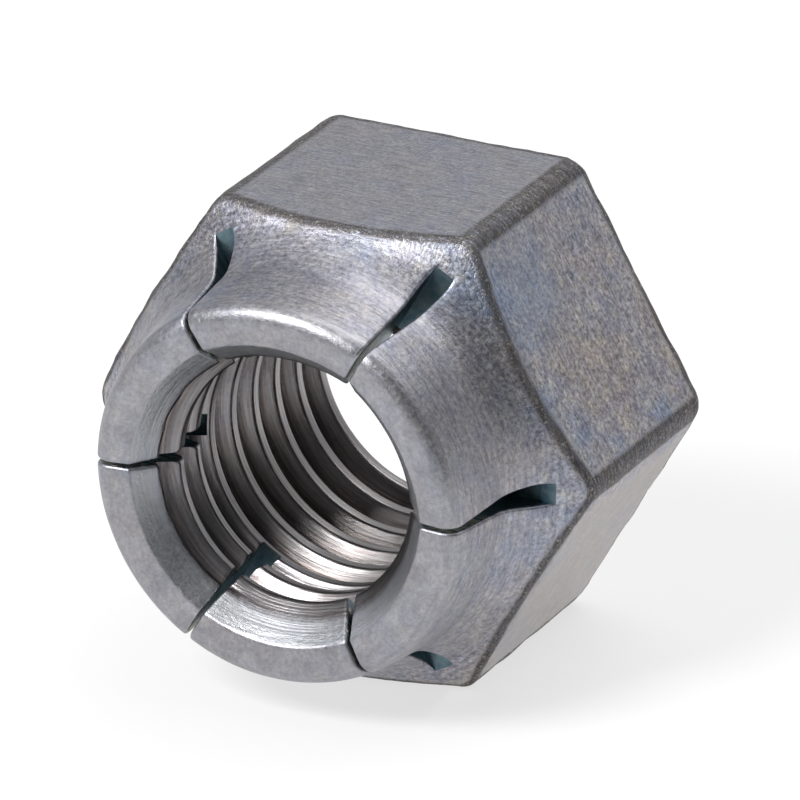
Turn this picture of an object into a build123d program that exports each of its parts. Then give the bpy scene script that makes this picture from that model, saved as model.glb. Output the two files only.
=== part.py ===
"""Slotted collar lock nut, M12 x 1.75, all steel, in one piece.

A hexagon nut whose collar end is turned down to a short tube. Six saw cuts, one towards each
corner of the hexagon, split the tube into segments, and the segments are pressed inwards so
that they grip the bolt.

The nut lies on one of its flats. Its thread axis is the Y axis: the bearing face looks along
+Y, the slotted collar along -Y, and the origin is the centre of the bearing face. Heights are
measured from the bearing face towards the collar. The bore is plain, at the minor diameter
of the thread.
"""

import os
from math import cos, radians, sin, tan

from build123d import *

# ---- hexagon -------------------------------------------------------------------------------
hexagon_sides = 6
across_flats = 18.0
corner_height = 9.25            # bearing face to the shoulder, along a corner of the hexagon
corner_chamfer_diameter = 19.8  # circle on the bearing face outside which corners are cut back
corner_chamfer_angle = 30.0
edge_round = 0.35               # tumbled edges between the flats, the shoulder and the chamfer
shoulder_angle = 36.0           # slope of the conical shoulder, from square to the axis

# ---- bore ----------------------------------------------------------------------------------
minor_diameter = 10.4           # inside the crests of the thread
entry_diameter = 12.3           # countersink at the bearing face
entry_angle = 45.0

# ---- collar, as turned ---------------------------------------------------------------------
nut_height = 15.25
collar_diameter = 16.1
root_radius = 2.5               # concave corner between the shoulder and the collar
rim_round = 0.65                # outer edge of the rim
rim_inner_round = 0.2
lead_in_diameter = 13.2         # countersink at the rim
lead_in_angle = 45.0

# ---- saw cuts and pressed segments ---------------------------------------------------------
slot_count = 6
slot_width = 0.83
slot_floor_height = 10.2
sawn_edge_round = 0.12          # edges of the segments along the saw cuts
bend_angle = 7.8                # how far each segment leans in
bend_height = 9.9               # level of the line that a segment bends about
bend_radius = 7.0               # distance of that line from the thread axis
segment_root_depth = 1.2        # how far a segment is rooted below its bend line
stump_inset = 0.06              # the ring that carries the segments lies this far inside them
stump_height = 2.7              # height of that ring above the bend line

# ---- worked out from the sizes above -------------------------------------------------------
flat_distance = across_flats / 2
corner_radius = flat_distance / cos(radians(180 / hexagon_sides))
bore_radius = minor_diameter / 2
collar_radius = collar_diameter / 2
shoulder_slope = tan(radians(shoulder_angle))
lean_slope = tan(radians(bend_angle))
step = 360 / slot_count

# The thread axis, and a half section of the nut: its first coordinate runs out along X, its
# second one up the nut towards the collar.
thread_axis = Axis((0, 0, 0), (0, -1, 0))
half_section = Plane((0, 0, 0), x_dir=(1, 0, 0), z_dir=(0, 0, -1))


def shoulder_height_at(radius):
    """Height of the conical shoulder at a distance from the axis."""
    return corner_height + (corner_radius - radius) * shoulder_slope


def stump_radius_at(height):
    """Radius of the ring inside the segments, which leans in as they do."""
    return collar_radius - stump_inset - (height - bend_height) * lean_slope


def distance_from_axis(point):
    """Distance of a point from the thread axis."""
    return Vector(point.X, 0, point.Z).length


# ---- body: the hexagon, its shoulder and the ring that the segments stand on -----------------
stump_top = bend_height + stump_height
stump_foot_radius = collar_radius - stump_inset
root_height = (shoulder_height_at(stump_foot_radius) - shoulder_slope * lean_slope * bend_height)
root_height = root_height / (1 - shoulder_slope * lean_slope)
root_corner = (stump_radius_at(root_height), root_height)
outside_radius = 1.1 * corner_radius
chamfer_radius = corner_chamfer_diameter / 2
chamfer_rise = (outside_radius - chamfer_radius) * tan(radians(corner_chamfer_angle))

with BuildPart() as body:
    with BuildSketch(Plane.XZ) as hexagon:
        RegularPolygon(flat_distance, hexagon_sides, major_radius=False)
        fillet(hexagon.vertices(), edge_round)
    extrude(amount=stump_top)
    with BuildSketch(half_section) as envelope:
        with BuildLine():
            Polyline((0, 0), (chamfer_radius, 0), (outside_radius, chamfer_rise),
                     (outside_radius, shoulder_height_at(outside_radius)), root_corner,
                     (stump_radius_at(stump_top), stump_top), (0, stump_top), close=True)
        make_face()
        fillet(envelope.vertices().sort_by_distance(root_corner)[0], root_radius)
    revolve(axis=thread_axis, mode=Mode.INTERSECT)

    # every edge of the hexagon is tumbled round, apart from those that its sketch rounded
    outer_edges = body.edges().filter_by(
        lambda edge: distance_from_axis(edge.center()) > flat_distance - edge_round / 10)
    fillet(outer_edges.filter_by(Axis.Y, reverse=True), edge_round)

    # saw cuts, from the axis out through the wall, down to a flat floor
    with BuildSketch(Plane.XZ.offset(slot_floor_height)):
        with PolarLocations(0, slot_count):
            Rectangle(outside_radius, slot_width, align=(Align.MIN, Align.CENTER))
    extrude(amount=nut_height, mode=Mode.SUBTRACT)

    # bore and its countersink at the bearing face
    entry_depth = (entry_diameter - minor_diameter) / 2 / tan(radians(entry_angle))
    with BuildSketch(half_section):
        with BuildLine():
            Polyline((0, 0), (entry_diameter / 2, 0), (bore_radius, entry_depth),
                     (bore_radius, stump_top), (0, stump_top), close=True)
        make_face()
    revolve(axis=thread_axis, mode=Mode.SUBTRACT)

# ---- one segment of the collar, first as turned and sawn, then leaning in ---------------------
segment_foot = bend_height - segment_root_depth
lead_in_depth = (lead_in_diameter - minor_diameter) / 2 / tan(radians(lead_in_angle))
wedge_tip = slot_width / 2 / sin(radians(step / 2))
wedge_half_width = (collar_diameter - wedge_tip) * tan(radians(step / 2))

with BuildPart() as segment:
    with BuildSketch(half_section) as wall_section:
        with BuildLine():
            Polyline((bore_radius, segment_foot), (collar_radius, segment_foot),
                     (collar_radius, nut_height), (lead_in_diameter / 2, nut_height),
                     (bore_radius, nut_height - lead_in_depth), close=True)
        make_face()
        fillet(wall_section.vertices().sort_by_distance((collar_radius, nut_height))[0], rim_round)
        fillet(wall_section.vertices().sort_by_distance((lead_in_diameter / 2, nut_height))[0],
               rim_inner_round)
    revolve(axis=thread_axis)
    with BuildSketch(Plane.XZ.offset(segment_foot)):
        with BuildLine():
            Polyline((wedge_tip, 0), (collar_diameter, wedge_half_width),
                     (collar_diameter, -wedge_half_width), close=True)
        make_face()
    extrude(amount=nut_height, mode=Mode.INTERSECT)
    # the saw leaves the ends of a segment square, and their edges are tumbled round too
    sawn_faces = segment.faces().filter_by(GeomType.PLANE).filter_by(
        lambda face: abs(face.normal_at().Y) < 0.5)
    fillet(sawn_faces.edges().filter_by(lambda edge: -edge.center().Y > segment_foot), sawn_edge_round)

bend_line = Axis((bend_radius, -bend_height, 0), (0, 0, 1))
leaning_segment = segment.part.rotate(bend_line, -bend_angle)

# ---- the whole nut -------------------------------------------------------------------------
with BuildPart() as lock_nut:
    add(body.part)
    for number in range(slot_count):
        add(leaning_segment.rotate(thread_axis, (number + 0.5) * step))

lock_nut.part.label = "lock_nut"
os.makedirs("parts", exist_ok=True)
export_step(lock_nut.part, "parts/lock_nut.step")
print("lock nut:", round(lock_nut.part.volume), "cubic mm,", len(lock_nut.faces()), "faces")
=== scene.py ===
# %% [markdown]
# # A slotted collar lock nut
#
# This script dresses the solid model of an all-steel lock nut, M12 x 1.75. The hexagon carries
# a short collar. Six saw cuts split the collar into segments, and the maker presses them
# inwards, so that they grip the bolt and the nut can't shake loose.
#
# The solid model gives the size and the place of the nut. Here it gets what a solid model
# leaves out: the helical thread, the smooth bend of the segments, the tumbled edges and a
# plated steel finish. Every length is in millimetres until it goes into a mesh, which is in
# metres.

from math import asin, atan2, cos, pi, radians, sin, sqrt, tan

import bmesh
import bpy
import numpy as np
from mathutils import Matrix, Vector


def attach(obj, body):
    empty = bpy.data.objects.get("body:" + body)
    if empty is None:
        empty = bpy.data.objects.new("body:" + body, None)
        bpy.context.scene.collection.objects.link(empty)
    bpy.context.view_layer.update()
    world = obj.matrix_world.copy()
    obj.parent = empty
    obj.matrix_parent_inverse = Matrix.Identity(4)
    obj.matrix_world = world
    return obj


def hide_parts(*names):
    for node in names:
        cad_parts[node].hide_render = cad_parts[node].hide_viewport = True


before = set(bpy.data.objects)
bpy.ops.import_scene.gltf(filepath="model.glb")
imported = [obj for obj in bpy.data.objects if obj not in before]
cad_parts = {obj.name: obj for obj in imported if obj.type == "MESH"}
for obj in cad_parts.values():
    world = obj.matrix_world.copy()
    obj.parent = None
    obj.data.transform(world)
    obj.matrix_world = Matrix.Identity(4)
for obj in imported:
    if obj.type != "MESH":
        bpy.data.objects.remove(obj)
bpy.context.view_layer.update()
mm = 0.001

# %% [markdown]
# ## Sizes
#
# Names for the sizes come first, so that every later cell reads like a drawing. The solid model
# has the same numbers. Numbers could be typed where they are used, but then a change has to be
# found in many places.

# %% Sizes of the nut
flat_distance = 9.0          # axis to flat: 18 mm across the flats
corner_height = 9.25         # bearing face to the shoulder, along a corner
corner_chamfer_radius = 9.7  # the bearing face stops at this circle, past it the corners rise
corner_chamfer_angle = 30.0
edge_round = 0.42            # tumbled edges along the shoulder
bearing_round = 0.6          # tumbled edges of the bearing face
corner_round = 0.85          # tumbled corners between the flats
shoulder_angle = 36.0        # slope of the conical shoulder
root_radius = 2.5            # hollow curve from the shoulder up to the collar
collar_radius = 8.05
nut_height = 15.25
rim_round = 0.65
rim_inner_round = 0.2
lead_in_radius = 6.6         # countersink at the rim
lead_in_angle = 45.0
entry_radius = 6.15          # countersink at the bearing face
minor_radius = 5.2
slot_half_width = 0.415
slot_floor_height = 10.2
slot_edge_round = 0.13
segments = 6
pitch = 1.75
lead_end_radius = 6.1        # the lead-in has its own rows down to this circle
thread_end = 14.25           # the thread starts to run out at this height
thread_fade = 0.3            # and is gone this much higher

sixth = radians(360 / segments)
corner_radius = flat_distance / cos(sixth / 2)
slope = tan(radians(shoulder_angle))
shoulder_normal = pi / 2 - radians(shoulder_angle)   # angle of its normal from straight out
print("across corners, mm:", round(2 * corner_radius, 2))

# %% [markdown]
# ## Columns
#
# The nut repeats six times round its axis, so one sixth is built and a node tree copies
# it. The sixth is a grid: columns run over the section, and rows cross them. It could be cut
# from solids with Boolean modifiers instead, but a grid puts points where the edges are, stays
# closed, and keeps the rounded edges even.

# %% Columns: lines that run round the section of the nut
# A column is (side, value). Near a saw cut it keeps its distance from the middle of the cut,
# and between the cuts it keeps its share of the angle.
cut_shares = (0, 0.18, 0.36, 0.52, 0.68, 0.84, 1.0)
edge_shares = (0.13, 0.32, 0.6, 1.0)
cut_columns = [slot_half_width * share for share in cut_shares]
edge_columns = [slot_half_width + slot_edge_round * share for share in edge_shares]
near_columns = cut_columns + edge_columns
widest_near = near_columns[-1]
middle_count = 26
columns = [("first", offset) for offset in near_columns]
columns += [("middle", (i + 1) / (middle_count + 1)) for i in range(middle_count)]
columns += [("last", offset) for offset in reversed(near_columns)]
print("columns:", len(columns))


def column_angle(column, radius):
    """Angle of a column from the first saw cut, at a distance from the axis."""
    side, value = column
    if side == "first":
        return asin(value / radius)
    if side == "last":
        return sixth - asin(value / radius)
    start = asin(widest_near / radius)
    return start + value * (sixth - 2 * start)


def hexagon_radius(column):
    """Distance from the axis to the hexagon's side, with its corners rounded."""
    side, value = column
    if side != "middle" and value < corner_round * sin(sixth / 2):
        centre = (flat_distance - corner_round) / cos(sixth / 2)
        return sqrt((centre + sqrt(corner_round ** 2 - value ** 2)) ** 2 + value ** 2)
    radius = corner_radius
    for _ in range(6):
        radius = flat_distance / cos(column_angle(column, radius) - sixth / 2)
    return radius


# %% [markdown]
# ## The outside
#
# A turned part is easiest to describe by its section: a bearing face, a chamfer, the flat, a
# rounded edge, the conical shoulder, a hollow curve up to the collar, and the rim. The flats
# make the section change from column to column, so each column gets its own. Two helpers give
# the points of an arc and of a straight run.

# %% Arcs and straight runs
cone_at_collar = corner_height + (corner_radius - collar_radius) * slope
root_tangent = root_radius * tan(shoulder_normal / 2)
root_centre = (collar_radius + root_radius, cone_at_collar + root_tangent)
root_start = (collar_radius + root_tangent * cos(radians(shoulder_angle)),
              cone_at_collar - root_tangent * sin(radians(shoulder_angle)))
floor_end = corner_radius - (slot_floor_height - corner_height) / slope
floor_margin = 0.05
cone_foot_arc = 0.12             # length of hollow curve below the level of the cuts' floor


def arc(centre, radius, start, end, count):
    """Points of an arc with their outward normals, without the last one."""
    found = []
    for i in range(count):
        angle = start + (end - start) * i / count
        normal = (cos(angle), sin(angle))
        found.append((centre[0] + radius * normal[0], centre[1] + radius * normal[1], *normal))
    return found


end_steps = (0.05, 0.17, 0.32, 0.5)   # rows close to an edge, where the finish changes


def run(start, end, normal, count, steps=()):
    """Points of a straight run with one normal, without the last one. Steps, in mm, put points
    close to both ends."""
    length = abs(end[0] - start[0]) + abs(end[1] - start[1])
    insets = [step / max(length, 4 * steps[-1]) for step in steps]
    shares = [i / count for i in range(count)]
    if steps:
        inner = count - 2 * len(steps)
        span = 1 - 2 * insets[-1]
        shares = [0] + insets + [insets[-1] + span * i / inner for i in range(1, inner)]
        shares += [1 - inset for inset in reversed(insets)]
    return [(start[0] + (end[0] - start[0]) * share, start[1] + (end[1] - start[1]) * share,
             *normal) for share in shares]


print("hollow curve, centre in mm:", [round(value, 2) for value in root_centre])

# %% The section of the outside at a column
bearing_rows, chamfer_rows, bearing_edge_rows, flat_rows, edge_rows = 12, 3, 5, 20, 6
cone_rows, hollow_rows, collar_rows, rim_round_rows, rim_rows = 5, 12, 8, 7, 5
inner_round_rows, lead_in_rows = 4, 5


def hollow_point(angle):
    """A point of the hollow curve at the root of the collar, with its outward normal."""
    return (root_centre[0] - root_radius * cos(angle),
            root_centre[1] - root_radius * sin(angle), cos(angle), sin(angle))


def outside_rows(column):
    """Section of the outside at a column: radius, height and normal of each row."""
    radius = hexagon_radius(column)
    inner = radius - edge_round
    chamfer = radians(corner_chamfer_angle)
    low_inner = radius - bearing_round
    chamfer_start = corner_chamfer_radius - bearing_round * tan(chamfer / 2)
    low_centre = (min(low_inner, chamfer_start), bearing_round)
    side_centre = (low_inner, bearing_round + max(0, low_inner - chamfer_start) * tan(chamfer))
    rows = run((entry_radius, 0), (low_centre[0], 0), (0, -1), bearing_rows, end_steps)
    rows += arc(low_centre, bearing_round, -pi / 2, -pi / 2 + chamfer, chamfer_rows)
    rows += arc(side_centre, bearing_round, -pi / 2 + chamfer, 0, bearing_edge_rows)
    foot = inner + edge_round * cos(shoulder_normal)
    if foot >= root_start[0]:      # the edge lies on the cone
        end = shoulder_normal
        height = corner_height + (corner_radius - inner) * slope - edge_round / cos(
            radians(shoulder_angle))
    else:                          # the edge lies on the hollow curve
        reach = root_radius + edge_round
        height = root_centre[1] - sqrt(reach ** 2 - (inner - root_centre[0]) ** 2)
        end = atan2(root_centre[1] - height, root_centre[0] - inner)
    rows += run((radius, side_centre[1]), (radius, height), (1, 0), flat_rows, end_steps)
    rows += arc((inner, height), edge_round, 0, end, edge_rows)
    foot = (inner + edge_round * cos(end), height + edge_round * sin(end))
    # from the foot of the edge to the level of the saw cuts' floor, then up the hollow curve
    if foot[0] > floor_end + floor_margin:
        rows += run(foot, (floor_end, slot_floor_height), (cos(end), sin(end)), cone_rows)
        turn = shoulder_normal
    else:
        turn = atan2(root_centre[1] - foot[1], root_centre[0] - foot[0])
        step = cone_foot_arc / root_radius
        rows += [hollow_point(turn - step * i / cone_rows) for i in range(cone_rows)]
        turn -= step
    rows += [hollow_point(turn * (1 - i / hollow_rows)) for i in range(hollow_rows)]
    rim_level = nut_height - rim_round
    rows += run((collar_radius, root_centre[1]), (collar_radius, rim_level), (1, 0), collar_rows)
    rows += arc((collar_radius - rim_round, rim_level), rim_round, 0, pi / 2, rim_round_rows)
    # the rim, its rounded inner edge and the lead-in
    lead = radians(lead_in_angle)
    tangent = rim_inner_round * tan((pi / 2 - lead) / 2)
    rows += run((collar_radius - rim_round, nut_height), (lead_in_radius + tangent, nut_height),
                (0, 1), rim_rows)
    rows += arc((lead_in_radius + tangent, nut_height - rim_inner_round), rim_inner_round,
                pi / 2, pi - lead, inner_round_rows)
    lead_start = (lead_in_radius - tangent * sin(lead), nut_height - tangent * cos(lead))
    rows += run(lead_start, (lead_end_radius, lead_end_height), (-cos(lead), sin(lead)),
                lead_in_rows)
    return rows


lead_end_height = nut_height - (lead_in_radius - lead_end_radius) / tan(radians(lead_in_angle))
# the rows where one part of the section ends and the next starts
flat_start = bearing_rows + chamfer_rows + bearing_edge_rows
flat_end = flat_start + flat_rows
shoulder_start = flat_end + edge_rows
floor_row = shoulder_start + cone_rows         # level with the floor of the saw cuts
rim_row = floor_row + hollow_rows + collar_rows + rim_round_rows
apex_row = rim_row + 2                         # the walls' outer and inner edges meet here
lead_in_row = rim_row + rim_rows + inner_round_rows
outside_count = len(outside_rows(columns[0]))
print("rows on the outside:", outside_count)

# %% [markdown]
# ## The bore
#
# A thread is a helix. If the rows of the bore were level, its crests would cross them at a slant
# and look like stairs. So the rows climb by one pitch in each turn, and a row that lies on a
# crest stays on it. The bore is plain here; the node tree cuts the thread later, where its sizes
# are inputs that can be changed.

# %% The bore: rows that climb with the thread
rows_per_pitch = 24
rise = pitch / rows_per_pitch
bore_bottom = entry_radius - lead_end_radius
highest = int(lead_end_height / rise) + 1
lowest = -rows_per_pitch // segments


def bore_point(column, level):
    """Radius, angle and height of the plain bore where a row that climbs meets a column."""
    radius = minor_radius
    for _ in range(3):
        angle = column_angle(column, radius)
        height = level * rise + pitch * angle / (2 * pi)
        height = min(max(height, bore_bottom), lead_end_height)
        radius = max(minor_radius, entry_radius - height,
                     lead_in_radius - (nut_height - height) * tan(radians(lead_in_angle)))
    return radius, angle, height


print("rows in the bore:", highest - lowest + 1)


# %% [markdown]
# ## One sixth of the nut
#
# Now the points get their places. The edges along a saw cut are rounded a little: the closer a
# column is to the cut, the deeper its points drop. Faces join neighbouring points, but inside
# the cut they stop at its floor. There the walls and the floor are added, so that the finished
# nut is closed.

# %% One sixth of the nut, as turned and sawn, with a plain bore
levels = list(range(highest, lowest - 1, -1))
row_count = outside_count + len(levels)
floor_level = {"first": round(slot_floor_height / rise)}
floor_level["last"] = floor_level["first"] - rows_per_pitch // segments
points = np.zeros((len(columns), row_count, 3))
outside_fade, bore_fade = 3, 4       # rows over which the rounding starts at the cut's floor


def edge_drop(value):
    """How far a point drops where the edge along a saw cut is rounded."""
    depth = max(0, slot_edge_round - (value - slot_half_width))
    return slot_edge_round - sqrt(max(0, slot_edge_round ** 2 - depth ** 2))


for c, column in enumerate(columns):
    side, value = column
    for i, (radius, height, out, up) in enumerate(outside_rows(column)):
        angle = column_angle(column, radius)
        if side != "middle" and i > floor_row:
            drop = edge_drop(value) * min(1, (i - floor_row) / outside_fade)
            radius, height = radius - drop * out, height - drop * up
            angle = column_angle(column, radius)
        points[c, i] = radius * cos(angle), -height, radius * sin(angle)
    for i, level in enumerate(levels):
        radius, angle, height = bore_point(column, level)
        if side != "middle" and level > floor_level[side]:
            radius += edge_drop(value) * min(1, (level - floor_level[side]) / bore_fade)
            angle = column_angle(column, radius)
        points[c, outside_count + i] = radius * cos(angle), -height, radius * sin(angle)
print("points:", points.shape[0] * points.shape[1])

# %% Its faces
vertex_number = np.arange(points.shape[0] * points.shape[1]).reshape(points.shape[:2])
last_near = len(cut_columns) - 1
faces, cut_faces = [], []
for c in range(len(columns) - 1):
    in_cut = c < last_near or c + 1 > len(columns) - 1 - last_near
    side = "first" if c < last_near else "last"
    top = outside_count + levels.index(floor_level[side])
    for i in range(row_count):
        after = (i + 1) % row_count
        if in_cut and not (after <= floor_row or i >= top):
            continue
        faces.append((vertex_number[c, i], vertex_number[c + 1, i],
                      vertex_number[c + 1, after], vertex_number[c, after]))
    if in_cut:       # the floor of the saw cut
        cut_faces.append((vertex_number[c, floor_row], vertex_number[c + 1, floor_row],
                          vertex_number[c + 1, top], vertex_number[c, top]))
print("faces:", len(faces))

# %% The walls of the saw cut
for side, c in (("first", last_near), ("last", len(columns) - 1 - last_near)):
    top = outside_count + levels.index(floor_level[side])
    outer = [vertex_number[c, i] for i in range(floor_row, apex_row + 1)]
    inner = [vertex_number[c, i] for i in range(top, apex_row - 1, -1)]
    height_of = lambda v: -points.reshape(-1, 3)[v, 1]
    a = b = 0
    while a < len(outer) - 1 or b < len(inner) - 1:
        if b == len(inner) - 1 or (a < len(outer) - 1
                                   and height_of(outer[a + 1]) < height_of(inner[b + 1])):
            triangle = (outer[a], outer[a + 1], inner[b])
            a += 1
        else:
            triangle = (outer[a], inner[b + 1], inner[b])
            b += 1
        if len(set(triangle)) == 3:
            cut_faces.append(triangle if side == "last" else triangle[::-1])
print("faces of the cut:", len(cut_faces))

# %% The mesh of the sixth
blank = bpy.data.meshes.new("sixth_of_nut")
all_faces = [list(map(int, face)) for face in faces + cut_faces]
blank.from_pydata((points.reshape(-1, 3) * mm).tolist(), [], all_faces)
smooth = [True] * len(faces) + [False] * len(cut_faces)
blank.polygons.foreach_set("use_smooth", smooth)
print("one sixth:", len(blank.vertices), "points,", len(blank.polygons), "faces")

# %% [markdown]
# ## Marks for the finish
#
# The finish differs from place to place: worn dark edges, a turned bore, sawn walls. The mesh
# carries this as attributes, numbers stored on its points or faces, which the material reads.
# A painted image could do it too, but attributes need no unwrapping and keep their sharpness.

# %% Bore, mouth, edges and sawn walls
def mark(name, values, domain="POINT"):
    """Stores one number for each point or face of the sixth."""
    values = np.asarray(values, np.float32)
    blank.attributes.new(name, "FLOAT", domain).data.foreach_set("value", values.ravel())


in_bore_rows = np.zeros(points.shape[:2])
in_bore_rows[:, outside_count:] = 1
mark("bore", in_bore_rows)
# the mouth: a plain cone at the end of the collar, where the thread runs out
mouth = np.clip((-points[:, :, 1] - thread_end) / thread_fade, 0, 1)
mouth[:, :lead_in_row] = 0
mark("mouth", mouth)
# how near a point is to a tumbled edge: 1 on it, 0 at edge_reach from it
edge_reach = 0.5
edge = np.zeros(points.shape[:2])
half_side = flat_distance * tan(sixth / 2)
for c, column in enumerate(columns):
    steps = np.linalg.norm(np.diff(points[c, :outside_count], axis=0), axis=1)
    along = np.concatenate([[0], np.cumsum(steps)])
    for i in range(outside_count):
        if i < flat_start:
            away = max(0, along[bearing_rows] - along[i])
        elif i < flat_end:
            x, _, z = points[c, i]
            sideways = abs(sqrt(x * x + z * z) * sin(atan2(z, x) - sixth / 2))
            from_corner = max(0, half_side - corner_round * tan(sixth / 2) - sideways)
            away = min(along[i] - along[flat_start], along[flat_end] - along[i], from_corner)
        else:
            away = max(0, along[i] - along[shoulder_start])
        edge[c, i] = max(0, 1 - away / edge_reach)
mark("edge", edge)
mark("sawn", [0] * len(faces) + [1] * len(cut_faces), "FACE")
blank.update()
print("marks:", "bore, mouth, edge, sawn")

# %% The object that carries it
nut = bpy.data.objects.new("lock_nut_dressed", blank)
bpy.context.scene.collection.objects.link(nut)
print("object:", nut.name)

# %% [markdown]
# ## The node tree
#
# Geometry Nodes do the three things that follow a rule: six copies round the axis, the thread
# and the press that bends the segments. Its sizes are inputs, so a coarser thread or a flatter
# bend is one number away. Arithmetic in a tree takes many small Math nodes, so a helper adds
# one and returns its result, which can go into the next.

# %% A small helper for node trees
def number(tree, operation, *values, clamp=False):
    """A Math node on sockets or plain numbers, and its result."""
    node = tree.nodes.new("ShaderNodeMath")
    node.operation, node.use_clamp = operation, clamp
    for socket, value in zip(node.inputs, values):
        if isinstance(value, bpy.types.NodeSocket):
            tree.links.new(value, socket)
        else:
            socket.default_value = value
    return node.outputs[0]


# %% The tree and its inputs
tree = bpy.data.node_groups.new("slotted_nut", "GeometryNodeTree")
tree.is_modifier = True


def tree_input(name, kind, value=None):
    socket = tree.interface.new_socket(name, in_out="INPUT", socket_type=kind)
    if value is not None:
        socket.default_value = value
    return socket


tree_input("Geometry", "NodeSocketGeometry")
inputs = {
    "Segments": ("NodeSocketInt", segments),
    "Pitch": ("NodeSocketFloat", pitch),
    "Minor radius": ("NodeSocketFloat", minor_radius),
    "Thread depth": ("NodeSocketFloat", 0.8),
    "Crest half width": ("NodeSocketFloat", 0.23),
    "First crest": ("NodeSocketFloat", 0.304),
    "Lean": ("NodeSocketFloat", radians(7.8)),
    "Bend radius": ("NodeSocketFloat", 7.0),
    "Bend height": ("NodeSocketFloat", 9.9),
    "Bend start": ("NodeSocketFloat", slot_floor_height),
    "Bend end": ("NodeSocketFloat", 11.8),
    "Edge dents": ("NodeSocketFloat", 0.16),
    "Flat dents": ("NodeSocketFloat", 0.02),
    "Finish": ("NodeSocketMaterial", None),
}
sockets = {name: tree_input(name, *given) for name, given in inputs.items()}
tree.interface.new_socket("Geometry", in_out="OUTPUT", socket_type="NodeSocketGeometry")
source = tree.nodes.new("NodeGroupInput").outputs
sink = tree.nodes.new("NodeGroupOutput")
link = tree.links.new
print("inputs of the tree:", len(sockets))

# %% [markdown]
# ### Six copies
#
# The sixth becomes an instance, the instance is duplicated, and each copy is turned by its own
# number times a sixth of a turn. Realize Instances makes real faces of them, and Merge by
# Distance welds the seams. An Array modifier with an empty could copy it too, but then the
# count and the angle are two settings that have to agree.

# %% Copies round the axis
merge_distance = 0.002 * mm
as_instance = tree.nodes.new("GeometryNodeGeometryToInstance")
link(source["Geometry"], as_instance.inputs[0])
copies = tree.nodes.new("GeometryNodeDuplicateElements")
copies.domain = "INSTANCE"
link(as_instance.outputs[0], copies.inputs["Geometry"])
link(source["Segments"], copies.inputs["Amount"])
turn = tree.nodes.new("GeometryNodeRotateInstances")
angle = number(tree, "MULTIPLY", number(tree, "DIVIDE", -2 * pi, source["Segments"]),
               copies.outputs["Duplicate Index"])
euler = tree.nodes.new("ShaderNodeCombineXYZ")
link(angle, euler.inputs["Y"])
to_rotation = tree.nodes.new("FunctionNodeEulerToRotation")
link(euler.outputs[0], to_rotation.inputs[0])
link(copies.outputs["Geometry"], turn.inputs["Instances"])
link(to_rotation.outputs[0], turn.inputs["Rotation"])
realize = tree.nodes.new("GeometryNodeRealizeInstances")
link(turn.outputs[0], realize.inputs[0])
merge = tree.nodes.new("GeometryNodeMergeByDistance")
merge.inputs["Distance"].default_value = merge_distance
link(realize.outputs[0], merge.inputs["Geometry"])
print("nodes so far:", len(tree.nodes))

# %% Reading and setting positions in millimetres


def place(tree):
    """Where a point is: its angle, its distance from the thread axis and its height, in mm."""
    position = tree.nodes.new("GeometryNodeInputPosition").outputs[0]
    split = tree.nodes.new("ShaderNodeSeparateXYZ")
    tree.links.new(position, split.inputs[0])
    x, y, z = (number(tree, "DIVIDE", out, mm) for out in split.outputs)
    angle = number(tree, "ARCTAN2", z, x)
    angle = number(tree, "WRAP", angle, 2 * pi, 0.0)
    across = number(tree, "SQRT", number(tree, "ADD", number(tree, "MULTIPLY", x, x),
                                         number(tree, "MULTIPLY", z, z)))
    return x, z, angle, across, number(tree, "MULTIPLY", y, -1.0)


def moved(tree, geometry, x, height, z, chosen=None):
    """Sets the positions of points, given in mm."""
    join = tree.nodes.new("ShaderNodeCombineXYZ")
    for value, socket in zip((x, number(tree, "MULTIPLY", height, -1.0), z), join.inputs):
        tree.links.new(number(tree, "MULTIPLY", value, mm), socket)
    node = tree.nodes.new("GeometryNodeSetPosition")
    tree.links.new(geometry, node.inputs["Geometry"])
    tree.links.new(join.outputs[0], node.inputs["Position"])
    if chosen is not None:
        tree.links.new(chosen, node.inputs["Selection"])
    return node.outputs[0]


# %% [markdown]
# ### The thread
#
# A metric thread is a row of 60 degree grooves. For each point of the bore the tree finds how
# far it is from the nearest crest along the axis, and from that how deep the groove is there.
# Smooth minimum and maximum round the crest and the root, as a real tap leaves them. A Screw
# modifier would wind a profile as well, but it makes a separate coil that has to be joined to
# the saw cuts.

# %% How deep the groove is at a point
crest_rounding, groove_rounding = 0.10, 0.12
flank_angle = 30.0
whole_turns = 20                 # more than the nut has, so that the turns stay positive
x, z, angle, across, height = place(tree)
above_first = number(tree, "SUBTRACT", height, source["First crest"])
turns = number(tree, "SUBTRACT", number(tree, "DIVIDE", above_first, source["Pitch"]),
               number(tree, "DIVIDE", angle, 2 * pi))
part = number(tree, "FRACT", number(tree, "ADD", turns, whole_turns + 0.5))
part_from_crest = number(tree, "ABSOLUTE", number(tree, "SUBTRACT", part, 0.5))
from_crest = number(tree, "MULTIPLY", part_from_crest, source["Pitch"])
cut = number(tree, "DIVIDE", number(tree, "SUBTRACT", from_crest, source["Crest half width"]),
             tan(radians(flank_angle)))
cut = number(tree, "SMOOTH_MAX", cut, 0.0, crest_rounding)
cut = number(tree, "SMOOTH_MIN", cut, source["Thread depth"], groove_rounding)
in_mouth = tree.nodes.new("GeometryNodeInputNamedAttribute")
in_mouth.data_type = "FLOAT"
in_mouth.inputs["Name"].default_value = "mouth"
cut = number(tree, "MULTIPLY", cut, number(tree, "SUBTRACT", 1.0, in_mouth.outputs["Attribute"]))

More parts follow.
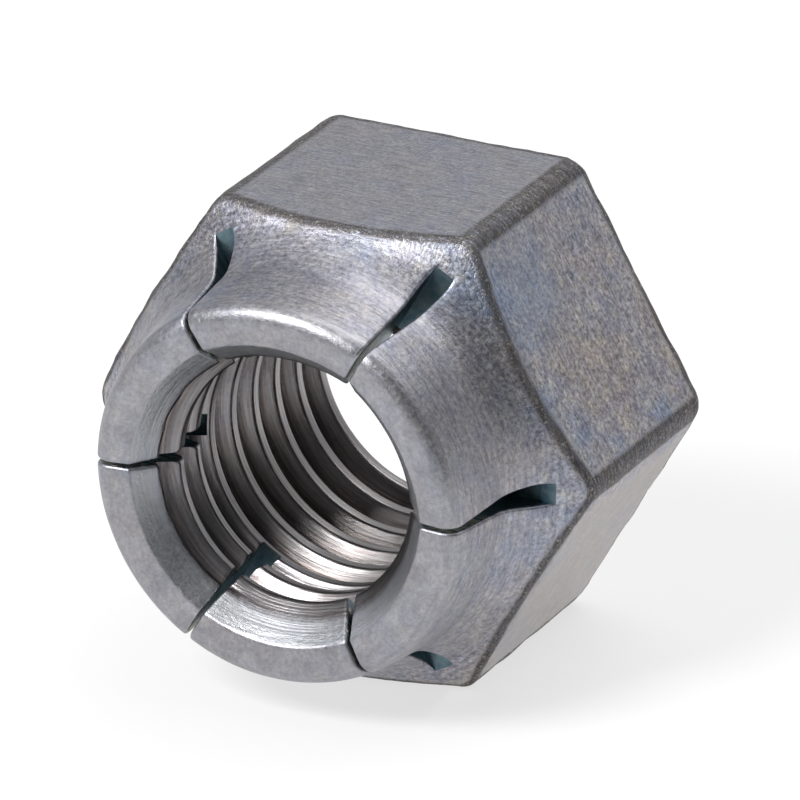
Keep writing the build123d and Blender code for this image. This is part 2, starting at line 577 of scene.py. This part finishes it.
# %% Move the points of the bore out by that depth
# Beside a saw cut the points move along its wall, and between the cuts away from the axis.
threaded = number(tree, "ADD", source["Minor radius"], cut)
move = number(tree, "SUBTRACT", number(tree, "MAXIMUM", across, threaded), across)
one = number(tree, "DIVIDE", 2 * pi, source["Segments"])
from_middle = number(tree, "SUBTRACT", number(tree, "MODULO", angle, one),
                     number(tree, "DIVIDE", one, 2.0))
share = number(tree, "ABSOLUTE", from_middle)
near = asin(widest_near / minor_radius)
near_share = near / (sixth / 2 - near)
turned = number(tree, "MINIMUM", number(tree, "MULTIPLY", share, near_share),
                number(tree, "SUBTRACT", number(tree, "DIVIDE", one, 2.0), share))
turned = number(tree, "MULTIPLY", turned, number(tree, "SIGN", from_middle))
direction = number(tree, "ADD", angle, turned)
new_x = number(tree, "MULTIPLY_ADD", number(tree, "COSINE", direction), move, x)
new_z = number(tree, "MULTIPLY_ADD", number(tree, "SINE", direction), move, z)
in_bore = tree.nodes.new("GeometryNodeInputNamedAttribute")
in_bore.data_type = "FLOAT"
in_bore.inputs["Name"].default_value = "bore"
is_bore = number(tree, "GREATER_THAN", in_bore.outputs["Attribute"], 0.5)
groove = tree.nodes.new("GeometryNodeStoreNamedAttribute")
groove.inputs["Name"].default_value = "groove"
link(merge.outputs[0], groove.inputs["Geometry"])
link(number(tree, "MULTIPLY", is_bore, number(tree, "DIVIDE", cut, source["Thread depth"])),
     groove.inputs["Value"])
threaded_nut = moved(tree, groove.outputs[0], new_x, height, new_z, is_bore)
print("nodes with the thread:", len(tree.nodes))

# %% [markdown]
# ### The pressed segments
#
# The maker squeezes the collar, and each segment turns inwards about a line near its root. The
# tree turns each point about that line, by an angle that grows smoothly from nothing at the
# floor of the cuts to the full lean. Splitting the turn over the height gives the root its
# soft bend. A Simple Deform modifier bends a whole object one way, and here six segments bend
# six ways.

# %% Lean each segment inwards
x, z, angle, across, height = place(tree)
middle = number(tree, "MULTIPLY", number(tree, "ADD", number(tree, "FLOOR", number(
    tree, "DIVIDE", angle, one)), 0.5), one)
cosine, sine = number(tree, "COSINE", middle), number(tree, "SINE", middle)
outward = number(tree, "ADD", number(tree, "MULTIPLY", x, cosine), number(tree, "MULTIPLY", z, sine))
sideways = number(tree, "SUBTRACT", number(tree, "MULTIPLY", z, cosine),
                  number(tree, "MULTIPLY", x, sine))
ramp = tree.nodes.new("ShaderNodeMapRange")
ramp.interpolation_type = "SMOOTHSTEP"
link(height, ramp.inputs["Value"])
link(source["Bend start"], ramp.inputs["From Min"])
link(source["Bend end"], ramp.inputs["From Max"])
bend = number(tree, "MULTIPLY", ramp.outputs[0], source["Lean"])
out_arm = number(tree, "SUBTRACT", outward, source["Bend radius"])
up_arm = number(tree, "SUBTRACT", height, source["Bend height"])
bend_cosine, bend_sine = number(tree, "COSINE", bend), number(tree, "SINE", bend)
new_out = number(tree, "ADD", source["Bend radius"], number(tree, "SUBTRACT", number(
    tree, "MULTIPLY", out_arm, bend_cosine), number(tree, "MULTIPLY", up_arm, bend_sine)))
new_height = number(tree, "ADD", source["Bend height"], number(tree, "ADD", number(
    tree, "MULTIPLY", up_arm, bend_cosine), number(tree, "MULTIPLY", out_arm, bend_sine)))
new_x = number(tree, "SUBTRACT", number(tree, "MULTIPLY", new_out, cosine),
               number(tree, "MULTIPLY", sideways, sine))
new_z = number(tree, "ADD", number(tree, "MULTIPLY", new_out, sine),
               number(tree, "MULTIPLY", sideways, cosine))
pressed_nut = moved(tree, threaded_nut, new_x, new_height, new_z)
print("nodes with the bend:", len(tree.nodes))

# %% [markdown]
# ### Tumbling
#
# Nuts are tumbled in a drum and knock against each other, which leaves shallow dents, mostly
# along the edges. A noise pattern pushes the points in, and only in, so the nut keeps its
# size. Bump in the material would dent the shading but leave the outline ruler straight.

# %% Dents along the edges, and the finish
dents_per_mm = 0.9
dent_level = 0.72                # noise above this leaves the surface alone
dents = tree.nodes.new("ShaderNodeTexNoise")
dents.inputs["Scale"].default_value = dents_per_mm / mm
dents.inputs["Detail"].default_value = 2.0
link(tree.nodes.new("GeometryNodeInputPosition").outputs[0], dents.inputs["Vector"])
on_edge = tree.nodes.new("GeometryNodeInputNamedAttribute")
on_edge.data_type = "FLOAT"
on_edge.inputs["Name"].default_value = "edge"
depth = number(tree, "MULTIPLY_ADD", on_edge.outputs["Attribute"], source["Edge dents"],
               source["Flat dents"])
depth = number(tree, "MULTIPLY", depth, number(tree, "SUBTRACT", dents.outputs[0], dent_level))
depth = number(tree, "MULTIPLY", number(tree, "MINIMUM", depth, 0.0), mm)
push = tree.nodes.new("ShaderNodeVectorMath")
push.operation = "SCALE"
link(tree.nodes.new("GeometryNodeInputNormal").outputs[0], push.inputs[0])
link(depth, push.inputs["Scale"])
dented = tree.nodes.new("GeometryNodeSetPosition")
link(pressed_nut, dented.inputs["Geometry"])
link(push.outputs[0], dented.inputs["Offset"])

finish = tree.nodes.new("GeometryNodeSetMaterial")
link(dented.outputs[0], finish.inputs["Geometry"])
link(source["Finish"], finish.inputs["Material"])
link(finish.outputs[0], sink.inputs[0])
print("nodes in the tree:", len(tree.nodes))

# %% [markdown]
# ## Patterns of the finish
#
# Zinc plating goes on in a bath, and its passivation leaves faint stains of blue, violet and
# straw. Under it the steel keeps the marks of forging and turning. Both are patterns that are
# useful on any plated part, so each is a shader node group with named inputs and outputs. An
# image of real metal would also do, but it stretches over corners; noise in object space runs
# round them.

# %% Helpers for shader groups
def shader_group(name, ins, outs):
    """A shader node group with named inputs and outputs, and its two end nodes."""
    made = bpy.data.node_groups.new(name, "ShaderNodeTree")
    for title, kind, value in ins:
        socket = made.interface.new_socket(title, in_out="INPUT", socket_type=kind)
        if value is not None:
            socket.default_value = value
    for title, kind in outs:
        made.interface.new_socket(title, in_out="OUTPUT", socket_type=kind)
    return made, made.nodes.new("NodeGroupInput").outputs, made.nodes.new("NodeGroupOutput").inputs


def noise(tree, vector, scale, detail=3.0, stretch=None, offset=(0, 0, 0), rough=0.5):
    """A noise pattern; scale is per mm when the vector is in mm."""
    if stretch or any(offset):
        mapping = tree.nodes.new("ShaderNodeMapping")
        mapping.inputs["Scale"].default_value = stretch or (1, 1, 1)
        mapping.inputs["Location"].default_value = offset
        tree.links.new(vector, mapping.inputs["Vector"])
        vector = mapping.outputs[0]
    node = tree.nodes.new("ShaderNodeTexNoise")
    tree.links.new(vector, node.inputs["Vector"])
    node.inputs["Scale"].default_value = scale
    node.inputs["Detail"].default_value = detail
    node.inputs["Roughness"].default_value = rough
    return node.outputs[0]


def ramp_of(tree, value, *stops):
    """A colour ramp with (place, colour) stops."""
    node = tree.nodes.new("ShaderNodeValToRGB")
    ends = node.color_ramp.elements
    while len(ends) < len(stops):
        ends.new(0.5)
    for end, (where, colour) in zip(ends, stops):
        end.position = where
        end.color = (*colour, 1) if isinstance(colour, tuple) else (colour,) * 3 + (1,)
    tree.links.new(value, node.inputs[0])
    return node.outputs[0]


def mixed(tree, kind, factor, first, second):
    """A colour Mix node."""
    node = tree.nodes.new("ShaderNodeMix")
    node.data_type, node.blend_type = "RGBA", kind
    for index, value in ((0, factor), (6, first), (7, second)):
        if isinstance(value, bpy.types.NodeSocket):
            tree.links.new(value, node.inputs[index])
        else:
            node.inputs[index].default_value = value if index == 0 else (*value, 1)
    return node.outputs[2]


# %% Stains of the plating
stains, given, result = shader_group(
    "plating_stains", [("Vector", "NodeSocketVector", None), ("Strength", "NodeSocketFloat", 1.0)],
    [("Color", "NodeSocketColor")])
broad = noise(stains, given["Vector"], 0.30, 4.0, offset=(3, 7, 1), rough=0.6)
tint = ramp_of(stains, broad, (0.32, (0.17, 0.27, 0.45)), (0.41, (0.27, 0.31, 0.39)),
               (0.50, (0.315, 0.305, 0.35)), (0.59, (0.335, 0.31, 0.285)),
               (0.68, (0.335, 0.27, 0.27)))
small = noise(stains, given["Vector"], 1.7, 4.0, offset=(11, 2, 5), rough=0.65)
speck = ramp_of(stains, small, (0.36, (0.13, 0.125, 0.18)), (0.46, (0.27, 0.27, 0.32)),
                (0.55, (0.36, 0.35, 0.345)), (0.66, (0.53, 0.48, 0.40)))
both = mixed(stains, "MIX", 0.5, tint, speck)
plain_zinc = (0.335, 0.33, 0.36)
stains.links.new(mixed(stains, "MIX", given["Strength"], plain_zinc, both), result["Color"])
print("stain group:", len(stains.nodes), "nodes")

# %% Marks of the tools
# Lines are strokes round the nut, grit is fine roughness, and turned marks depend only on the
# distance from the axis and the height, so they run round the bore as a cutting tool's do.
grain, given, result = shader_group(
    "tool_grain", [("Vector", "NodeSocketVector", None)],
    [("Lines", "NodeSocketFloat"), ("Grit", "NodeSocketFloat"), ("Turned", "NodeSocketFloat")])
grain.links.new(noise(grain, given["Vector"], 1.0, 4.0, stretch=(1.1, 9.0, 1.1), rough=0.6),
                result["Lines"])
grain.links.new(noise(grain, given["Vector"], 6.0, 3.0, rough=0.75), result["Grit"])
split = grain.nodes.new("ShaderNodeSeparateXYZ")
grain.links.new(given["Vector"], split.inputs[0])
squares = [number(grain, "MULTIPLY", split.outputs[i], split.outputs[i]) for i in (0, 2)]
reach_out = number(grain, "SQRT", number(grain, "ADD", *squares))
turned_vector = grain.nodes.new("ShaderNodeCombineXYZ")
grain.links.new(reach_out, turned_vector.inputs[0])
grain.links.new(split.outputs[1], turned_vector.inputs[1])
grain.links.new(noise(grain, turned_vector.outputs[0], 9.0, 3.0, rough=0.6), result["Turned"])
print("tool group:", len(grain.nodes), "nodes")

# %% [markdown]
# ## The plated steel
#
# One material covers the nut, because it is one piece in one bath. A metallic Principled BSDF
# takes its colour from the stains, and the marks on the mesh tell it where the edges, the bore
# and the saw cuts are. It could be split into four materials, but then their borders would be
# as hard as the faces; here noise makes them ragged.

# %% Start the material
steel = bpy.data.materials.new("plated_steel")
steel.use_nodes = True
plated = steel.node_tree
shader = plated.nodes["Principled BSDF"]
shader.inputs["Metallic"].default_value = 1.0
coordinates = plated.nodes.new("ShaderNodeTexCoord")
in_mm = plated.nodes.new("ShaderNodeMapping")
in_mm.inputs["Scale"].default_value = (1 / mm,) * 3
plated.links.new(coordinates.outputs["Object"], in_mm.inputs["Vector"])
where = in_mm.outputs[0]


def placed(group):
    """A group node in the material, on object coordinates in millimetres."""
    node = plated.nodes.new("ShaderNodeGroup")
    node.node_tree = group
    plated.links.new(where, node.inputs["Vector"])
    return node


def attribute(name):
    """What the mesh has stored under a name."""
    node = plated.nodes.new("ShaderNodeAttribute")
    node.attribute_name = name
    return node.outputs["Fac"]


def range_of(tree, value, low, high, start=0.0, end=1.0):
    """A smooth step from start to end as a value goes from low to high."""
    node = tree.nodes.new("ShaderNodeMapRange")
    node.interpolation_type = "SMOOTHSTEP"
    tree.links.new(value, node.inputs["Value"])
    for key, given in (("From Min", low), ("From Max", high), ("To Min", start), ("To Max", end)):
        node.inputs[key].default_value = given
    return node.outputs[0]


def part_of(mask, share):
    """A share of a mask, as the factor of a Mix node."""
    return number(plated, "MULTIPLY", mask, share)


stain, tool = placed(stains), placed(grain)
lines_mark, grit_mark = tool.outputs["Lines"], tool.outputs["Grit"]
turned_mark = tool.outputs["Turned"]
edge_mask, bore_mask, sawn_mask = attribute("edge"), attribute("bore"), attribute("sawn")
groove_mask, mouth_mask = attribute("groove"), attribute("mouth")
axes = plated.nodes.new("ShaderNodeSeparateXYZ")
plated.links.new(where, axes.inputs[0])
level_up = number(plated, "MULTIPLY", axes.outputs["Y"], -1.0)
print("attributes read:", "edge, bore, sawn, groove, mouth")

# %% Stains, strokes and grit
# One flat and the collar are calmer than the other flats, which took more knocks.
top_flat = range_of(plated, axes.outputs["Z"], 8.6, 8.95)
on_collar = range_of(plated, level_up, 9.6, 11.2)
calm = number(plated, "MULTIPLY", number(plated, "MULTIPLY_ADD", top_flat, -0.6, 1.0),
              number(plated, "MULTIPLY_ADD", on_collar, -0.45, 1.0))
plated.links.new(part_of(calm, 0.75), stain.inputs["Strength"])
strokes = ramp_of(plated, lines_mark, (0.30, 0.55), (0.5, 1.0), (0.70, 1.40))
specks = ramp_of(plated, grit_mark, (0.30, 0.40), (0.5, 1.0), (0.70, 1.60))
colour = mixed(plated, "MULTIPLY", 0.55, stain.outputs["Color"], strokes)
colour = mixed(plated, "MULTIPLY", calm, colour, specks)

# %% Painted reflection on the side flats, and a blue bloom by one corner
# The bath stood in that corner a little longer. The bloom is a soft ball round a point.
bloom_centre = (6.4, -7.8, 7.0)
# Below the collar, all flats but the top one are painted paler: a painted reflection of the bright
# paper around the nut.
below_collar = range_of(plated, level_up, 9.9, 9.2)
painted_reflection_flats = number(plated, "MULTIPLY", number(plated, "SUBTRACT", 1.0, top_flat), below_collar)
colour = mixed(plated, "MULTIPLY", part_of(painted_reflection_flats, 0.8), colour, (1.28, 1.24, 1.20))
bloom_at = plated.nodes.new("ShaderNodeVectorMath")
bloom_at.operation = "DISTANCE"
plated.links.new(where, bloom_at.inputs[0])
bloom_at.inputs[1].default_value = bloom_centre
bloom_edge = number(plated, "MULTIPLY_ADD", lines_mark, 3.0, bloom_at.outputs["Value"])
bloom = range_of(plated, bloom_edge, 2.4, 5.2, 1.0, 0.0)
colour = mixed(plated, "MIX", part_of(bloom, 0.32), colour, (0.22, 0.33, 0.50))
# The lower side of the flats is painted paler and beige: a painted reflection of the white paper
# below.
painted_floor_reflection = number(plated, "MULTIPLY", range_of(plated, axes.outputs["Z"], -0.6, -1.6),
               range_of(plated, level_up, 10.0, 9.2))
colour = mixed(plated, "MIX", part_of(painted_floor_reflection, 0.6), colour, (0.46, 0.43, 0.41))
print("bloom at, mm:", bloom_centre)

# %% A painted highlight on the rim, and a painted reflection on the cone of the mouth
# The rim is painted paler towards its top face: a painted highlight.
rim_highlight = plated.nodes.new("ShaderNodeMapRange")
plated.links.new(level_up, rim_highlight.inputs["Value"])
for key, value in (("From Min", 14.2), ("From Max", 14.9), ("To Min", 0.0), ("To Max", 1.0)):
    rim_highlight.inputs[key].default_value = value
colour = mixed(plated, "MIX", part_of(rim_highlight.outputs[0], 0.35), colour, (0.38, 0.38, 0.40))
# The cone of the mouth is painted pale: a painted reflection.
colour = mixed(plated, "MIX", part_of(mouth_mask, 0.5), colour, (0.56, 0.59, 0.61))

# %% The thread: turned lines, with flanks darkened as painted shade
# The flanks get darker and browner the deeper the groove: painted shade down in the grooves, with
# paler crests.
turned = ramp_of(plated, turned_mark, (0.3, (0.19, 0.15, 0.135)), (0.5, (0.28, 0.27, 0.275)),
                 (0.7, (0.40, 0.39, 0.39)))
# Painted shade: the dark brown flank colour goes where the groove is deep.
groove_shade = ramp_of(plated, turned_mark, (0.35, (0.035, 0.027, 0.024)),
                (0.55, (0.085, 0.07, 0.065)), (0.72, (0.24, 0.17, 0.14)))
turned = mixed(plated, "MIX", range_of(plated, groove_mask, 0.05, 0.75, 0.0, 0.9), turned, groove_shade)
in_thread = number(plated, "MULTIPLY", bore_mask, number(plated, "SUBTRACT", 1.0, mouth_mask))
colour = mixed(plated, "MIX", part_of(in_thread, 0.85), colour, turned)

# %% The tumbled edges: dark, gritty bands with ragged borders
ragged = number(plated, "ADD", number(plated, "MULTIPLY_ADD", grit_mark, 1.5, -0.75),
                number(plated, "MULTIPLY_ADD", lines_mark, 0.7, -0.35))
band = range_of(plated, number(plated, "ADD", edge_mask, ragged), 0.68, 1.05)
edge_colour = ramp_of(plated, grit_mark, (0.36, (0.018, 0.015, 0.013)),
                      (0.52, (0.075, 0.067, 0.062)), (0.70, (0.34, 0.325, 0.31)))
colour = mixed(plated, "MIX", part_of(band, 0.92), colour, edge_colour)

# %% The walls of the saw cuts
# The walls of the saw cuts are dark and bluish. Near the rim, streaks on them where the thread
# ends are straw coloured.
saw = ramp_of(plated, lines_mark, (0.3, (0.05, 0.11, 0.15)), (0.7, (0.22, 0.29, 0.31)))
thread_ends = number(plated, "MULTIPLY", range_of(plated, lines_mark, 0.48, 0.56),
                     range_of(plated, level_up, 12.4, 13.2))
saw = mixed(plated, "MIX", part_of(thread_ends, 0.85), saw, (0.60, 0.58, 0.42))
colour = mixed(plated, "MIX", sawn_mask, colour, saw)
plated.links.new(colour, shader.inputs["Base Color"])

# %% Roughness and fine relief
# The edges are dull and the thread is smooth. The relief is far below a tenth of a millimetre,
# so bump is enough for it; what shows in the outline is in the mesh.
edge_roughness, thread_roughness = 0.62, 0.30
relief_height = 0.05 * mm
rough = ramp_of(plated, grit_mark, (0.3, 0.36), (0.7, 0.50))
rough = mixed(plated, "MIX", band, rough, (edge_roughness,) * 3)
rough = mixed(plated, "MIX", part_of(in_thread, 0.8), rough, (thread_roughness,) * 3)
plated.links.new(rough, shader.inputs["Roughness"])

gritty = number(plated, "MULTIPLY", grit_mark, number(plated, "MULTIPLY_ADD", edge_mask, 1.2, 0.6))
relief = number(plated, "ADD", number(plated, "MULTIPLY", lines_mark, 0.5), gritty)
outside_bore = number(plated, "SUBTRACT", 1.0, part_of(bore_mask, 0.8))
turned_relief = number(plated, "MULTIPLY", turned_mark, part_of(bore_mask, 0.6))
relief = number(plated, "ADD", number(plated, "MULTIPLY", relief, outside_bore), turned_relief)
bump = plated.nodes.new("ShaderNodeBump")
bump.inputs["Strength"].default_value = 0.5
bump.inputs["Distance"].default_value = relief_height
plated.links.new(relief, bump.inputs["Height"])
plated.links.new(bump.outputs[0], shader.inputs["Normal"])
print("material:", len(plated.nodes), "nodes")

# %% [markdown]
# ## From tree to mesh
#
# A modifier is live: it would run again at every change, and an export drops its instances. So
# the tree runs once, its result becomes the object's own mesh, and the modifier goes. Then
# doubles are welded, and the faces' directions are made to agree. A closed mesh has two faces
# at every edge, which is counted as a check.

# %% Run the tree and keep its result as a plain mesh
modifier = nut.modifiers.new("slotted nut", "NODES")
modifier.node_group = tree
modifier[sockets["Finish"].identifier] = steel
bpy.context.view_layer.update()
graph = bpy.context.evaluated_depsgraph_get()
mesh = bpy.data.meshes.new_from_object(nut.evaluated_get(graph), depsgraph=graph)
nut.modifiers.clear()
nut.data = mesh
nut.data.materials.clear()
nut.data.materials.append(steel)
print("after the tree:", len(mesh.vertices), "points")

# %% Weld, clean and check
weld_distance, sliver_length = 0.002 * mm, 0.001 * mm
work = bmesh.new()
work.from_mesh(nut.data)
bmesh.ops.remove_doubles(work, verts=work.verts, dist=weld_distance)
bmesh.ops.dissolve_degenerate(work, edges=work.edges, dist=sliver_length)
bmesh.ops.recalc_face_normals(work, faces=work.faces)
open_edges = sum(not joint.is_manifold for joint in work.edges)
print("volume, cubic mm:", round(work.calc_volume() / mm ** 3, 1), "open edges:", open_edges)
work.to_mesh(nut.data)
work.free()
triangles = sum(len(polygon.vertices) - 2 for polygon in nut.data.polygons)
print("nut:", len(nut.data.vertices), "points,", triangles, "triangles")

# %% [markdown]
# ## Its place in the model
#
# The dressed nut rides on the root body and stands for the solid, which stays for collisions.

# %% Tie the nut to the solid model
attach(nut, "root")
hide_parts("lock_nut")

# %% [markdown]
# ## Camera
#
# A long lens far away keeps the hexagon's sides nearly parallel, as in a product picture. The
# camera looks at the collar from above and a little from the right. Its directions are written
# as vectors, because a small slide along them frames the nut without a shift of the lens.

# %% Camera
view = Vector((0.416, -0.822, 0.390)).normalized()
right = Vector((0.892, 0.452, 0.0)).normalized()
up = view.cross(right)
camera = bpy.data.objects.new("camera", bpy.data.cameras.new("camera"))
bpy.context.scene.collection.objects.link(camera)
distance, slide_right, slide_up = 445, -2.196, -1.714      # mm
camera.location = (view * distance + right * slide_right + up * slide_up) * mm
camera.rotation_mode = "QUATERNION"
camera.rotation_quaternion = (-view).to_track_quat("-Z", "Y")
camera.data.sensor_width = 36
camera.data.lens = 534.7
camera.data.clip_start, camera.data.clip_end = 0.01, 10
bpy.context.scene.camera = camera
print("camera, mm from the nut:", distance)

# %% [markdown]
# ## Floor and light
#
# The nut lies on white paper. Part of the paper's white is emission that only the camera and
# reflections see, so the background is clean, the metal reflects it, and the nut still throws
# its shadow. The world is darker towards the front, which gives bright metal something dark to
# reflect. A large soft lamp stands in front on the left, and a larger one behind, above.

# %% Paper floor
floor_mesh = bpy.data.meshes.new("floor")
reach, level = 2.0, -flat_distance * mm
floor_mesh.from_pydata([(-reach, -reach, level), (reach, -reach, level), (reach, reach, level),
                        (-reach, reach, level)], [], [(0, 1, 2, 3)])
floor = bpy.data.objects.new("floor", floor_mesh)
bpy.context.scene.collection.objects.link(floor)
paper = bpy.data.materials.new("paper")
paper.use_nodes = True
nodes, links = paper.node_tree.nodes, paper.node_tree.links
paper_shader = nodes["Principled BSDF"]
paper_shader.inputs["Base Color"].default_value = (0.85, 0.85, 0.86, 1)
paper_shader.inputs["Roughness"].default_value = 1.0
white = nodes.new("ShaderNodeEmission")
blend = nodes.new("ShaderNodeMixShader")
path = nodes.new("ShaderNodeLightPath")
seen = number(paper.node_tree, "MAXIMUM", path.outputs["Is Camera Ray"], number(
    paper.node_tree, "MAXIMUM", path.outputs["Is Glossy Ray"], path.outputs["Is Transmission Ray"]))
white_share = 0.68
links.new(number(paper.node_tree, "MULTIPLY", seen, white_share), blend.inputs[0])
links.new(paper_shader.outputs[0], blend.inputs[1])
links.new(white.outputs[0], blend.inputs[2])
links.new(blend.outputs[0], nodes["Material Output"].inputs["Surface"])
floor.data.materials.append(paper)
print("floor at, mm:", -flat_distance)

# %% World
scene = bpy.context.scene
scene.view_settings.view_transform = "Standard"
world = bpy.data.worlds.new("studio")
scene.world = world
world.use_nodes = True
sky = world.node_tree
direction_node = sky.nodes.new("ShaderNodeTexCoord")
split = sky.nodes.new("ShaderNodeSeparateXYZ")
sky.links.new(direction_node.outputs["Generated"], split.inputs[0])
depth_ramp = sky.nodes.new("ShaderNodeMapRange")
side_share = -0.45               # the right side is a little darker too
sky.links.new(number(sky, "MULTIPLY_ADD", split.outputs[0], side_share, split.outputs[1]),
              depth_ramp.inputs["Value"])
for key, value in (("From Min", -0.7), ("From Max", 0.7), ("To Min", 0.10), ("To Max", 0.60)):
    depth_ramp.inputs[key].default_value = value
sky.links.new(depth_ramp.outputs[0], sky.nodes["Background"].inputs["Strength"])
sky.nodes["Background"].inputs["Color"].default_value = (0.97, 0.98, 1.0, 1)


# %% Lamps
def lamp(name, spot, size, power):
    """A square area lamp that points at the nut."""
    data = bpy.data.lights.new(name, "AREA")
    data.size, data.energy = size, power
    made = bpy.data.objects.new(name, data)
    scene.collection.objects.link(made)
    made.location = spot
    made.rotation_mode = "QUATERNION"
    made.rotation_quaternion = (-Vector(spot)).to_track_quat("-Z", "Y")
    print(name, "lamp:", power, "W")


lamp("key", (-0.16, -0.32, 0.35), 0.18, 2.6)
lamp("back", (0.10, 0.20, 0.58), 0.50, 2.1)
